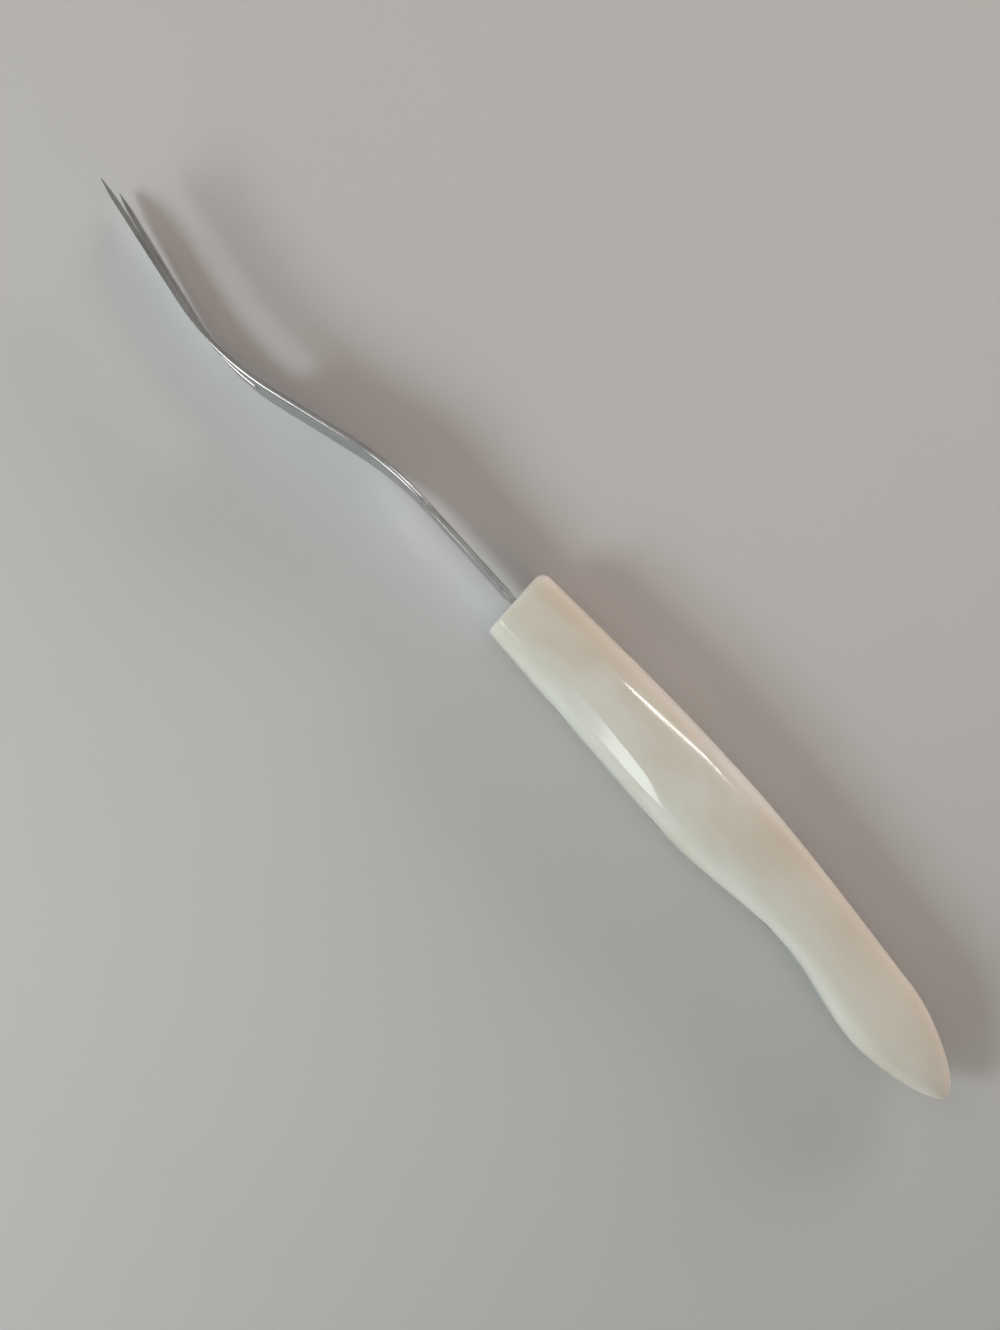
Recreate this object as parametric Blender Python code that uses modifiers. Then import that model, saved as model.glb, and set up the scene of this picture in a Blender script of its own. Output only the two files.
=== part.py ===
"""A turning fork: a two-tine stainless blade held by three rivets in a one-piece moulded handle.

The fork lies on its side, as it does on a table. +X runs along the handle towards the tines, +Y towards
the belly of the handle, where the fingers close, and +Z up from the table. The origin is on the flat land
of the handle that touches the table. Lengths in the tables below are millimetres; places along the fork
are counted from the front face of the handle, positive towards the tines and negative towards the butt.
"""

import math

import bmesh
import bpy
from mathutils import Vector

MM = 0.001
GAP = 0.3

# Handle: its outline from the side, its depth, and how square its section is.
# Each row is a place behind the front face, the value there and the slope there.
HANDLE_LENGTH = 133.0
HANDLE_THICKNESS = 17.0
ORIGIN_BEHIND_FRONT = 38.0
BACK_HEIGHT = ((0, 8.4, 0.085), (62, 11.95, 0), (112, 9.5, -0.055), (133, 8.6, -0.04))
BELLY_HEIGHT = ((0, 8.0, 0), (54, 8.1, 0), (88, 4.4, 0), (112, 7.15, 0), (133, 7.1, 0))
HALF_DEPTH = ((0, 7.3, 0.06), (40, 9.4, 0), (88, 6.7, 0), (112, 6.9, 0), (133, 6.6, 0))
SQUARENESS = ((0, 3.2, 0), (40, 2.6, 0), (88, 3.0, 0), (112, 3.1, 0), (133, 2.3, 0))
BUTT_TAPER_LENGTH = 22.0
BUTT_TAPER_POWER = 1.6
FRONT_EDGE_RADIUS = 1.0
FRONT_SLANT = math.tan(math.radians(7))
FRONT_SLANT_FADES_OVER = 40.0
RING_POINTS = 40
BODY_STEP = 4.5
BUTT_STEPS = 10
ROUND_STEPS = 4

# Blade: corners of the bent line seen from the side, as place and height towards the back.
TANG_END = (-104.0, 2.1)
FIRST_BEND = (36.0, -0.85)
SECOND_BEND = (75.3, -13.0)
TINE_TIP = (117.0, -5.8)
FIRST_BEND_RADIUS = 68.0
SECOND_BEND_RADIUS = 54.0
BEND_STEPS = 10
TINE_STOPS = (0.42, 0.84, 0.9, 0.95, 1.0)
SHEET = ((-104, 1.1, 0), (58, 1.1, 0), (86, 1.0, 0), (112, 0.95, 0), (117, 0.25, -0.16))

# Blade seen square to its flat: half the outer width, and the tine's inner edge.
OUTER_EDGE = (
    (-104, 3.4, 0), (-4.6, 4.0, 0), (-2.6, 5.6, 0), (22, 5.5, 0), (46, 8.0, 0),
    (72, 8.0, 0), (110, 7.0, -0.05), (117, 6.1, -0.22),
)
INNER_EDGE = ((68.3, 2.3, 0), (92, 2.4, 0.01), (108, 3.0, 0.12), (117, 5.9, 0.45))
TANG_END_RADIUS = 3.4
SLOT_SPARE = 1.0
MOUTH_DEPTH = 5.0
MOUTH_SPARE = 0.05
OUTLINE_STEP = 3.0
ARC_STEPS = 6
CUTTER_REACH = 200.0

# Rivets: two-part, a pin pressed into a sleeve, with heads ground flush with the handle.
RIVET_PLACES = {"front": 22.0, "middle": 52.0, "rear": 82.0}
RIVET_HEAD_RADIUS = 2.6
RIVET_HEAD_DEPTH = 3.0
RIVET_SLEEVE_RADIUS = 1.7
RIVET_PIN_RADIUS = 1.0
RIVET_SPARE = 3.0
RIVET_STEPS = 28


def smooth(stations, place):
    """The value at a place on the smooth curve through rows of place, value and slope."""
    for (x0, v0, m0), (x1, v1, m1) in zip(stations, stations[1:]):
        if place <= x1:
            span = x1 - x0
            p = max(0.0, (place - x0) / span)
            rise = p * p * (3 - 2 * p)
            return (
                v0 * (1 - rise) + v1 * rise
                + span * p * (1 - p) * (m0 * (1 - p) - m1 * p)
            )
    return stations[-1][1]


def material(name, colour, roughness, metallic):
    made = bpy.data.materials.new(name)
    made.use_nodes = True
    shader = made.node_tree.nodes["Principled BSDF"]
    shader.inputs["Base Color"].default_value = (*colour, 1.0)
    shader.inputs["Roughness"].default_value = roughness
    shader.inputs["Metallic"].default_value = metallic
    return made


def collection(name):
    made = bpy.data.collections.new(name)
    bpy.context.scene.collection.children.link(made)
    return made


def add_object(name, mesh, parent, group):
    made = bpy.data.objects.new(name, mesh)
    made.parent = parent
    group.objects.link(made)
    return made


def as_cutter(thing):
    thing.hide_render = True
    thing.display_type = "WIRE"
    return thing


def boolean(target, tool, operation):
    cut = target.modifiers.new(tool.name, "BOOLEAN")
    cut.operation = operation
    cut.solver = "EXACT"
    cut.object = tool


def butt_taper(place):
    """How far the handle has drawn in at the butt: 1 along the body, 0 at the beak."""
    left = (HANDLE_LENGTH - place) / BUTT_TAPER_LENGTH
    if left >= 1:
        return 1.0
    return (1 - (1 - left) ** BUTT_TAPER_POWER) ** (1 / BUTT_TAPER_POWER)


def front_inset(place):
    """How far the rounded edge of the front face draws the section in."""
    if place >= FRONT_EDGE_RADIUS:
        return 0.0
    short = FRONT_EDGE_RADIUS - place
    return FRONT_EDGE_RADIUS - math.sqrt(FRONT_EDGE_RADIUS ** 2 - short ** 2)


def handle_section(place):
    """The closed section of the handle at a place behind its front face."""
    taper = butt_taper(place)
    back = smooth(BACK_HEIGHT, place) * taper
    belly = smooth(BELLY_HEIGHT, place) * taper
    inset = front_inset(place)
    half_height = (back + belly) / 2 - inset
    half_depth = smooth(HALF_DEPTH, place) * taper - inset
    middle = (belly - back) / 2
    power = 2 / smooth(SQUARENESS, place)
    slant = FRONT_SLANT * max(0.0, 1 - place / FRONT_SLANT_FADES_OVER) ** 2
    ring = []
    for step in range(RING_POINTS):
        turn = 2 * math.pi * step / RING_POINTS
        side = math.copysign(abs(math.cos(turn)) ** power, math.cos(turn))
        up = math.copysign(abs(math.sin(turn)) ** power, math.sin(turn))
        y = middle + half_height * side
        ring.append(Vector((-place - slant * y, y, half_depth * up)) * MM)
    return ring


def handle_places():
    """Places of the sections: close together on the front edge and towards the beak."""
    quarter = math.pi / 2 / ROUND_STEPS
    places = [FRONT_EDGE_RADIUS * (1 - math.cos(quarter * step)) for step in range(ROUND_STEPS)]
    butt_start = HANDLE_LENGTH - BUTT_TAPER_LENGTH
    body_steps = round((butt_start - FRONT_EDGE_RADIUS) / BODY_STEP)
    for step in range(body_steps):
        places.append(FRONT_EDGE_RADIUS + (butt_start - FRONT_EDGE_RADIUS) * step / body_steps)
    for step in range(BUTT_STEPS):
        places.append(HANDLE_LENGTH - BUTT_TAPER_LENGTH * (1 - step / BUTT_STEPS) ** 2)
    return places


def handle_blank(name, parent, group):
    """The outside of the handle as a loft of its sections, with nothing cut out yet."""
    body = bmesh.new()
    rings = [[body.verts.new(point) for point in handle_section(place)] for place in handle_places()]
    beak = body.verts.new((-HANDLE_LENGTH * MM, 0, 0))
    body.faces.new(rings[0])
    for ring, following in zip(rings, rings[1:]):
        for k in range(RING_POINTS):
            n = (k + 1) % RING_POINTS
            body.faces.new((ring[n], ring[k], following[k], following[n]))
    for k in range(RING_POINTS):
        body.faces.new((rings[-1][(k + 1) % RING_POINTS], rings[-1][k], beak))
    bmesh.ops.recalc_face_normals(body, faces=body.faces)
    mesh = bpy.data.meshes.new(name)
    body.to_mesh(mesh)
    body.free()
    return add_object(name, mesh, parent, group)


def block(name, size, parent, group):
    body = bmesh.new()
    bmesh.ops.create_cube(body, size=1)
    bmesh.ops.scale(body, vec=Vector(size) * MM, verts=body.verts)
    mesh = bpy.data.meshes.new(name)
    body.to_mesh(mesh)
    body.free()
    return add_object(name, mesh, parent, group)


def turned(name, profile, parent, group):
    """A piece turned round its own Z: the profile is radius and height, down its outer side."""
    mesh = bpy.data.meshes.new(name)
    points = [(radius * MM, 0, height * MM) for radius, height in profile]
    mesh.from_pydata(points, [(k, k + 1) for k in range(len(points) - 1)], [])
    made = add_object(name, mesh, parent, group)
    screw = made.modifiers.new("turn", "SCREW")
    screw.steps = RIVET_STEPS
    screw.render_steps = RIVET_STEPS
    screw.use_merge_vertices = True
    screw.merge_threshold = 0.00001
    return made


def plate(name, outline, half_thickness, parent, group):
    """A flat outline in its own XY plane, extruded both ways, as a closed mesh."""
    curve = bpy.data.curves.new(name, "CURVE")
    curve.dimensions = "2D"
    curve.fill_mode = "BOTH"
    curve.extrude = half_thickness * MM
    spline = curve.splines.new("POLY")
    spline.points.add(len(outline) - 1)
    for point, (x, y) in zip(spline.points, outline):
        point.co = (x * MM, y * MM, 0, 1)
    spline.use_cyclic_u = True
    drawn = bpy.data.objects.new(name, curve)
    bpy.context.scene.collection.objects.link(drawn)
    seen = drawn.evaluated_get(bpy.context.evaluated_depsgraph_get())
    mesh = bpy.data.meshes.new_from_object(seen)
    bpy.data.objects.remove(drawn)
    body = bmesh.new()
    body.from_mesh(mesh)
    bmesh.ops.remove_doubles(body, verts=body.verts, dist=1e-7)
    bmesh.ops.recalc_face_normals(body, faces=body.faces)
    body.to_mesh(mesh)
    body.free()
    return add_object(name, mesh, parent, group)


def fillet(before, corner, after, radius):
    """Points of the arc that rounds a corner of the bent line."""
    towards_before = (before - corner).normalized()
    towards_after = (after - corner).normalized()
    half_angle = towards_before.angle(towards_after) / 2
    centre = corner + (towards_before + towards_after).normalized() * radius / math.sin(half_angle)
    run = radius / math.tan(half_angle)
    start = corner + towards_before * run - centre
    swing = start.angle_signed(corner + towards_after * run - centre)
    points = []
    for step in range(BEND_STEPS + 1):
        turn = swing * step / BEND_STEPS
        c, s = math.cos(turn), math.sin(turn)
        points.append(centre + Vector((c * start.x + s * start.y, c * start.y - s * start.x)))
    return points


def bent_line():
    """The middle of the sheet seen from the side, from the tang's end to the tine tip."""
    end, first, second, tip = map(Vector, (TANG_END, FIRST_BEND, SECOND_BEND, TINE_TIP))
    line = [end]
    line += fillet(end, first, second, FIRST_BEND_RADIUS)
    line += fillet(first, second, tip, SECOND_BEND_RADIUS)
    last_bend = line[-1]
    line += [last_bend.lerp(tip, share) for share in TINE_STOPS]
    return line


def side_outline():
    """Both faces of the sheet seen from the side, with +Y towards the belly."""
    line = bent_line()
    upper, lower = [], []
    for k, point in enumerate(line):
        along = line[min(k + 1, len(line) - 1)] - line[max(k - 1, 0)]
        across = Vector((-along.y, along.x)).normalized() * smooth(SHEET, point.x) / 2
        upper.append((point.x + across.x, -point.y - across.y))
        lower.append((point.x - across.x, -point.y + across.y))
    return lower + upper[::-1]


def spread(start, end):
    """Evenly spaced places from start to end, about one outline step apart."""
    count = max(2, round((end - start) / OUTLINE_STEP))
    return [start + (end - start) * k / count for k in range(count + 1)]


def plan_outline():
    """The blank seen square to its flat: tang, shank, shoulder and two tines with a round crotch."""
    crotch = INNER_EDGE[0][0]
    crotch_radius = INNER_EDGE[0][1]
    tang_start = TANG_END[0] + TANG_END_RADIUS
    half = []
    for step in range(ARC_STEPS):
        turn = math.pi / 2 * step / ARC_STEPS
        half.append((tang_start - TANG_END_RADIUS * math.cos(turn), TANG_END_RADIUS * math.sin(turn)))
    stops = [tang_start] + [place for place, width, slope in OUTER_EDGE[1:]]
    for start, end in zip(stops, stops[1:]):
        half += [(place, smooth(OUTER_EDGE, place)) for place in spread(start, end)[:-1]]
    half.append((TINE_TIP[0], OUTER_EDGE[-1][1]))
    half += [(place, smooth(INNER_EDGE, place)) for place in reversed(spread(crotch, TINE_TIP[0]))]
    for step in range(1, ARC_STEPS):
        turn = math.pi / 2 * step / ARC_STEPS
        half.append((crotch - crotch_radius * math.sin(turn), crotch_radius * math.cos(turn)))
    half.append((crotch - crotch_radius, 0.0))
    return half + [(x, -z) for x, z in half[-2:0:-1]]


def tang_height(place):
    """How far the middle of the tang lies towards the back, at a place behind the front face."""
    share = (-place - TANG_END[0]) / (FIRST_BEND[0] - TANG_END[0])
    return TANG_END[1] + share * (FIRST_BEND[1] - TANG_END[1])


def make_handle(frame, parts, cutters):
    blank = as_cutter(handle_blank("handle_blank", frame, cutters))
    slab = (2 * CUTTER_REACH, CUTTER_REACH, HANDLE_THICKNESS)
    sides = as_cutter(block("side_lands", slab, frame, cutters))
    boolean(blank, sides, "INTERSECT")
    handle = handle_blank("handle", frame, parts)
    boolean(handle, sides, "INTERSECT")
    tang_run = Vector(FIRST_BEND) - Vector(TANG_END)
    for name, depth, half_width, gap in (
        ("tang_slot", -TANG_END[0] + SLOT_SPARE, OUTER_EDGE[1][1], GAP),
        ("slot_mouth", MOUTH_DEPTH, OUTER_EDGE[2][1], GAP + MOUTH_SPARE),
    ):
        size = (2 * depth, SHEET[0][1] + 2 * gap, 2 * (half_width + GAP))
        slot = as_cutter(block(name, size, frame, cutters))
        slot.location.y = -tang_height(0) * MM
        slot.rotation_euler.z = -math.atan2(tang_run.y, tang_run.x)
        boolean(handle, slot, "DIFFERENCE")
    handle.data.materials.append(material("pearl_resin", (0.78, 0.74, 0.66), 0.2, 0.0))
    return handle, blank


def make_blade(frame, parts, cutters):
    blade = plate("fork_blade", side_outline(), HANDLE_THICKNESS, frame, parts)
    plan = as_cutter(plate("blade_plan", plan_outline(), CUTTER_REACH, frame, cutters))
    plan.rotation_euler.x = math.pi / 2
    boolean(blade, plan, "INTERSECT")
    blade.data.materials.append(material("stainless", (0.58, 0.58, 0.57), 0.25, 1.0))
    return blade


def make_rivet(name, place, handle, blade, blank, groups):
    """A pin and its sleeve, and the bores that they need in the handle and the tang."""
    frame, parts, cutters, metal = groups
    pin_seat = smooth(BACK_HEIGHT, place) - tang_height(place) - RIVET_HEAD_DEPTH
    sleeve_seat = smooth(BELLY_HEIGHT, place) + tang_height(place) - RIVET_HEAD_DEPTH
    pin_top = pin_seat + RIVET_HEAD_DEPTH + RIVET_SPARE
    sleeve_top = sleeve_seat + RIVET_HEAD_DEPTH + RIVET_SPARE
    pin_end = -sleeve_seat + 2 * GAP
    bore_radius = RIVET_PIN_RADIUS + GAP
    head_hole = RIVET_HEAD_RADIUS + GAP
    sleeve_hole = RIVET_SLEEVE_RADIUS + GAP
    centre = Vector((-place, -tang_height(place), 0)) * MM

    pin = turned(f"rivet_pin_{name}", (
        (0, pin_top), (RIVET_HEAD_RADIUS, pin_top), (RIVET_HEAD_RADIUS, pin_seat),
        (RIVET_PIN_RADIUS, pin_seat), (RIVET_PIN_RADIUS, pin_end), (0, pin_end),
    ), frame, parts)
    pin.rotation_euler.x = math.pi / 2
    sleeve = turned(f"rivet_sleeve_{name}", (
        (0, sleeve_top), (RIVET_HEAD_RADIUS, sleeve_top), (RIVET_HEAD_RADIUS, sleeve_seat),
        (RIVET_SLEEVE_RADIUS, sleeve_seat), (RIVET_SLEEVE_RADIUS, -pin_seat + GAP),
        (bore_radius, -pin_seat + GAP), (bore_radius, sleeve_seat), (0, sleeve_seat),
    ), frame, parts)
    sleeve.rotation_euler.x = -math.pi / 2
    bore = as_cutter(turned(f"rivet_bore_{name}", (
        (0, pin_top), (head_hole, pin_top), (head_hole, pin_seat - GAP), (sleeve_hole, pin_seat - GAP),
        (sleeve_hole, -sleeve_seat + GAP), (head_hole, -sleeve_seat + GAP), (head_hole, -sleeve_top),
        (0, -sleeve_top),
    ), frame, cutters))
    bore.rotation_euler.x = math.pi / 2
    for turned_piece in (pin, sleeve, bore):
        turned_piece.location = centre
    for half in (pin, sleeve):
        boolean(half, blank, "INTERSECT")
        half.data.materials.append(metal)
    boolean(handle, bore, "DIFFERENCE")
    boolean(blade, bore, "DIFFERENCE")


def main():
    for old in list(bpy.data.objects):
        bpy.data.objects.remove(old)
    parts = collection("turning_fork")
    cutters = collection("cutters")
    frame = bpy.data.objects.new("handle_axis", None)
    frame.location = Vector((ORIGIN_BEHIND_FRONT, 0, HANDLE_THICKNESS / 2)) * MM
    parts.objects.link(frame)

    handle, blank = make_handle(frame, parts, cutters)
    blade = make_blade(frame, parts, cutters)
    metal = material("rivet_metal", (0.62, 0.59, 0.53), 0.3, 1.0)
    for name, place in RIVET_PLACES.items():
        make_rivet(name, place, handle, blade, blank, (frame, parts, cutters, metal))
    for piece in parts.objects:
        if piece.type == "MESH":
            piece.data.shade_smooth()
            piece.data.set_sharp_from_angle(angle=math.radians(35))


main()
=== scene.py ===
# %% [markdown]
# # A turning fork: a steel blade in a pearl handle
# A turning fork lifts and turns meat in the pan. This one is a two-tine blade of stainless sheet, bent twice
# and riveted into a moulded handle of pearly resin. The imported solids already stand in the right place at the
# right size, so this lesson only dresses them: it remakes each piece as a fine mesh in the same place, gives
# every surface its finish, and lights a plain table. Lengths are millimetres until they reach Blender.

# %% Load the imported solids
import math

import bmesh
import bpy
import numpy as np
from mathutils import Matrix, Vector


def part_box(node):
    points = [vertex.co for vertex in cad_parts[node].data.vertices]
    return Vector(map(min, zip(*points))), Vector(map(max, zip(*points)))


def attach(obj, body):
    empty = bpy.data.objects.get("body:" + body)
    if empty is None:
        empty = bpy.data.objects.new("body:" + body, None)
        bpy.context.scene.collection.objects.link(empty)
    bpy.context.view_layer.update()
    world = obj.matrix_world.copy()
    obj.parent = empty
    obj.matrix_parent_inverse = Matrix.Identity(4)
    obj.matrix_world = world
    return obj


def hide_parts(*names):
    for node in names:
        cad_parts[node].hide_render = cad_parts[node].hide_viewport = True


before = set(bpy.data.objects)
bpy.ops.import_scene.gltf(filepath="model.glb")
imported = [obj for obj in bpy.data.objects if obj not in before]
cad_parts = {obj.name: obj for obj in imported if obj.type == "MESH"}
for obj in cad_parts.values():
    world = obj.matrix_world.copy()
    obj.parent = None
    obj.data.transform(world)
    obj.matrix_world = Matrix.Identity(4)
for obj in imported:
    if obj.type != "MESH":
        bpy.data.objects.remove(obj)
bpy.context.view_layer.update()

MM = 0.001
print("solids:", sorted(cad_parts))

# %% [markdown]
# ## The camera
# The picture was taken from straight above, from about a forearm away, with the fork pointing up and to the
# left. A camera that looks straight down needs no aiming: its place gives the point in the middle of the
# picture, and one turn about the vertical gives the direction of the fork.

# %% Place the camera
PICTURE_HEIGHT = 1330
FORK_HEADING = math.radians(131.09)
PICTURE_CENTRE = Vector((30.33, 10.58, 0))
CAMERA_HEIGHT = 333.5
FOCAL_PIXELS = 1608
SENSOR = 36.0
NEAREST_SEEN = 10.0


def placed(name, data):
    """A new object in the scene."""
    made = bpy.data.objects.new(name, data)
    bpy.context.scene.collection.objects.link(made)
    return made


camera = placed("camera", bpy.data.cameras.new("camera"))
camera.data.sensor_fit = "VERTICAL"
camera.data.sensor_height = SENSOR
camera.data.lens = SENSOR * FOCAL_PIXELS / PICTURE_HEIGHT
camera.data.clip_start = NEAREST_SEEN * MM
camera.location = (PICTURE_CENTRE + Vector((0, 0, CAMERA_HEIGHT))) * MM
camera.rotation_euler.z = -FORK_HEADING
bpy.context.scene.camera = camera
print(f"camera: lens {camera.data.lens:.2f} mm, {CAMERA_HEIGHT} mm above the table")

# %% [markdown]
# ## Node trees written as sums
# Blender's materials and Geometry Nodes are both graphs of nodes. Written link by link, a graph is long and
# hard to read. This small class wraps one socket, so that a sum such as `1 - mask * 0.5` adds the Math nodes
# that it stands for. Every other node comes from one method, which takes the node's type, its settings and
# what goes into its sockets.

# %% A socket that can be used in sums
class Wire:
    """One socket of a node tree."""

    def __init__(self, tree, socket=None):
        self.tree = tree
        self.socket = socket

    def node(self, kind, settings=None, sockets=None, output=0):
        """One output of a new node, with its settings made and its sockets filled."""
        made = self.tree.nodes.new(kind)
        for name, value in (settings or {}).items():
            setattr(made, name, value)
        for key, value in (sockets or {}).items():
            if isinstance(value, Wire):
                self.tree.links.new(value.socket, made.inputs[key])
            else:
                made.inputs[key].default_value = value
        return Wire(self.tree, made.outputs[output])

    def output(self, name):
        return Wire(self.tree, self.socket.node.outputs[name])

    def math(self, operation, *values):
        settings = {"operation": operation}
        return self.node("ShaderNodeMath", settings, dict(enumerate(values)))

    def vector(self, operation, first, second, output=0):
        settings = {"operation": operation}
        return self.node("ShaderNodeVectorMath", settings, {0: first, 1: second}, output)

    def scaled(self, factor):
        settings = {"operation": "SCALE"}
        return self.node("ShaderNodeVectorMath", settings, {0: self, "Scale": factor})

    def part(self, axis):
        return self.node("ShaderNodeSeparateXYZ", None, {0: self}, axis)

    def __add__(self, other):
        return self.math("ADD", self, other)

    def __radd__(self, other):
        return self.math("ADD", other, self)

    def __sub__(self, other):
        return self.math("SUBTRACT", self, other)

    def __rsub__(self, other):
        return self.math("SUBTRACT", other, self)

    def __mul__(self, other):
        return self.math("MULTIPLY", self, other)

    def __rmul__(self, other):
        return self.math("MULTIPLY", other, self)

    def __truediv__(self, other):
        return self.math("DIVIDE", self, other)

    def __rtruediv__(self, other):
        return self.math("DIVIDE", other, self)

    def __pow__(self, other):
        return self.math("POWER", self, other)


def ramp_up(value, start, end, low=0.0, high=1.0):
    """A smooth step from low to high while the value goes from start to end."""
    sockets = {"Value": value, "From Min": start, "From Max": end, "To Min": low, "To Max": high}
    return value.node("ShaderNodeMapRange", {"interpolation_type": "SMOOTHSTEP"}, sockets)


print("sums: + - * / ** on sockets, and one method for the other nodes")

# %% [markdown]
# ## A material and what feeds it
# Each finish is a Principled shader. A number that is the same all over the piece is set on the shader
# itself. What changes over the surface, such as colour and roughness, is a sum that is linked to its socket.

# %% Helpers for materials
def new_finish(name, **constants):
    """A material, its object coordinates, and its shader, with the constant values set."""
    material = bpy.data.materials.new(name)
    material.use_nodes = True
    tree = material.node_tree
    shader = tree.nodes["Principled BSDF"]
    for socket, value in constants.items():
        shader.inputs[socket.replace("_", " ")].default_value = value
    place = Wire(tree).node("ShaderNodeTexCoord", None, None, "Object")
    return material, place, shader


def feed(shader, **wires):
    for socket, wire in wires.items():
        wire.tree.links.new(wire.socket, shader.inputs[socket.replace("_", " ")])


def stretched(place, along_x, along_y, along_z):
    """The coordinates with each axis scaled, so that a pattern is drawn out along the smallest."""
    return place.vector("MULTIPLY", place, (along_x, along_y, along_z))


def noise(place, size, detail, roughness=0.5):
    """Noise with patches of about so many mm."""
    sockets = {"Vector": place, "Scale": 1 / (size * MM), "Detail": detail, "Roughness": roughness}
    return place.node("ShaderNodeTexNoise", None, sockets)


def mixed(share, first, second):
    """From the first colour to the second as the share goes from 0 to 1."""
    sockets = {0: share, 6: first, 7: second}
    return share.node("ShaderNodeMix", {"data_type": "RGBA"}, sockets, 2)


def bump(height, depth, strength):
    """A relief of so many mm."""
    sockets = {"Strength": strength, "Distance": depth * MM, "Height": height}
    return height.node("ShaderNodeBump", None, sockets)


def screen_colour(red, green, blue):
    """A colour as it is read off a screen, 0 to 255, made linear for a shader, and opaque."""
    shares = (red / 255, green / 255, blue / 255)
    return (*(c / 12.92 if c <= 0.04045 else ((c + 0.055) / 1.055) ** 2.4 for c in shares), 1.0)


print("mid grey, 128 on a screen, is", round(screen_colour(128, 128, 128)[0], 3), "to a shader")

# %% [markdown]
# ## The resin of the handle
# The handle is moulded in a pearl resin: milky, with faint clouds drawn out along the mould, where the
# pigment was stirred. Its gloss comes from the polished mould and has worn in use to a slightly uneven shine
# with hair scratches. The clouds are one noise pushed about by another. They are milkier in the middle than at
# the ends. Along the back the colour is also made beiger, as painted shade for the side away from the window.
# The scratches are a noise that is drawn out so far that it turns to lines.

# %% Pearl resin
CLOUD_SIZE, VEIN_SIZE = 21.0, 6.0
CLOUD_SHARE, VEIN_SHARE = 0.86, 0.14
PUSH_SIZE, PUSH_REACH = 34.0, 16.0
SCRATCH_SIZE, WEAR_SIZE, RIPPLE_SIZE = 0.35, 9.0, 5.0
MILK, BEIGE = screen_colour(202, 200, 191), screen_colour(190, 180, 164)
MILKY_TO_REAR, MILKY_TO_FRONT = (-60 * MM, -15 * MM), (5 * MM, 25 * MM)
BACK_TO_BELLY = (-7 * MM, 5 * MM)
# How much beiger the ends are, and how much painted shade lies along the back.
ENDS_BEIGE, BACK_PAINTED_SHADE = 0.5, 0.4


def pearl_resin():
    material, place, shader = new_finish(
        "pearl_resin", IOR=1.49, Subsurface_Weight=0.6, Subsurface_Scale=3.0 * MM,
        Subsurface_Radius=(1.0, 0.95, 0.8), Coat_Roughness=0.05, Sheen_Weight=0.3, Sheen_Roughness=0.4,
    )
    drawn = stretched(place, 0.45, 1.0, 0.8)
    push = noise(drawn, PUSH_SIZE, 1.5)
    swirled = place.vector("ADD", drawn, push.output("Color").scaled(PUSH_REACH * MM))
    clouds = ramp_up(noise(swirled, CLOUD_SIZE, 3.0, 0.55), 0.36, 0.68)
    veins = ramp_up(noise(swirled, VEIN_SIZE, 2.0), 0.45, 0.7)
    along = place.part(0)
    rear = ramp_up(along, *MILKY_TO_REAR, ENDS_BEIGE, 0.0)
    front = ramp_up(along, *MILKY_TO_FRONT, 0.0, ENDS_BEIGE)
    # Painted shade: the back of the handle, away from the window, is made beiger than the belly.
    back = ramp_up(place.part(1), *BACK_TO_BELLY, BACK_PAINTED_SHADE, 0.0)
    beige_ends_and_back_shade = rear + front + back - BACK_PAINTED_SHADE
    scratches = noise(stretched(place, 0.06, 1.0, 1.0), SCRATCH_SIZE, 2.0, 0.7)
    worn = noise(place, WEAR_SIZE, 4.0, 0.6)
    feed(
        shader,
        Base_Color=mixed(clouds * CLOUD_SHARE + veins * VEIN_SHARE + beige_ends_and_back_shade, MILK, BEIGE),
        Roughness=0.1 + worn * 0.07 + ramp_up(scratches, 0.62, 0.74) * 0.07,
        Coat_Weight=0.35 - worn * 0.2,
        Normal=bump(noise(place, RIPPLE_SIZE, 1.0) + scratches * 0.02, 0.004, 0.5),
    )
    return material


RESIN = pearl_resin()
print("finish:", RESIN.name)

# %% [markdown]
# ## The skin of the handle
# Seen from the side the handle swells, draws in where the fingers close and ends in a beak. Its section is a
# superellipse, which is a rule with one number for how square it is. A loft of such sections could be made by
# bridging a few loops and smoothing them, but the rule gives every ring exactly, so the skin is computed ring
# by ring. The two broad sides are ground flat where the section would stand too high, and that leaves a long
# leaf. The crease along its back softens towards the middle of the handle. On the belly side a second,
# shallow flat starts with a crisp line and fades outwards. The first catches the light as a thin line, the
# second as a brush stroke. The front face leans a little, with a sharper edge on the belly than on the back.

# %% The curves that the handle follows
HANDLE_LENGTH = 133.0
handle_low, handle_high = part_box("handle")
FRONT = handle_low.x / MM + HANDLE_LENGTH
MIDDLE = (handle_low.z + handle_high.z) / 2 / MM
LAND = (handle_high.z - handle_low.z) / 2 / MM

# Rows of a place behind the front face, the value there and the slope there.
BACK_HEIGHT = ((0, 8.4, 0.085), (62, 11.95, 0), (112, 9.5, -0.055), (133, 8.6, -0.04))
BELLY_HEIGHT = ((0, 8.0, 0), (54, 8.1, 0), (88, 4.4, 0), (112, 7.15, 0), (133, 7.1, 0))
HALF_DEPTH = ((0, 7.3, 0.06), (40, 9.4, 0), (88, 6.7, 0), (112, 6.9, 0), (133, 6.6, 0))
SQUARENESS = ((0, 3.2, 0), (40, 2.6, 0), (88, 3.0, 0), (112, 3.1, 0), (133, 2.3, 0))
BUTT_TAPER_LENGTH = 22.0
BUTT_TAPER_POWER = 1.6
FRONT_SLANT = math.tan(math.radians(7))
FRONT_SLANT_FADES_OVER = 40.0
FRONT_EDGE_BELLY, FRONT_EDGE_BACK, FRONT_EDGE_POWER = 0.7, 2.0, 1.5
LAND_BORDER, LAND_BORDER_GROWS = 0.4, 0.06
SOFTER_FROM, SOFTER_OVER = 26.0, 25.0
FLAT_STARTS, FLAT_SLOPE = 2.4, math.tan(math.radians(19))
FLAT_BORDER_INNER, FLAT_BORDER_GROWS = 0.04, 0.03


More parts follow.
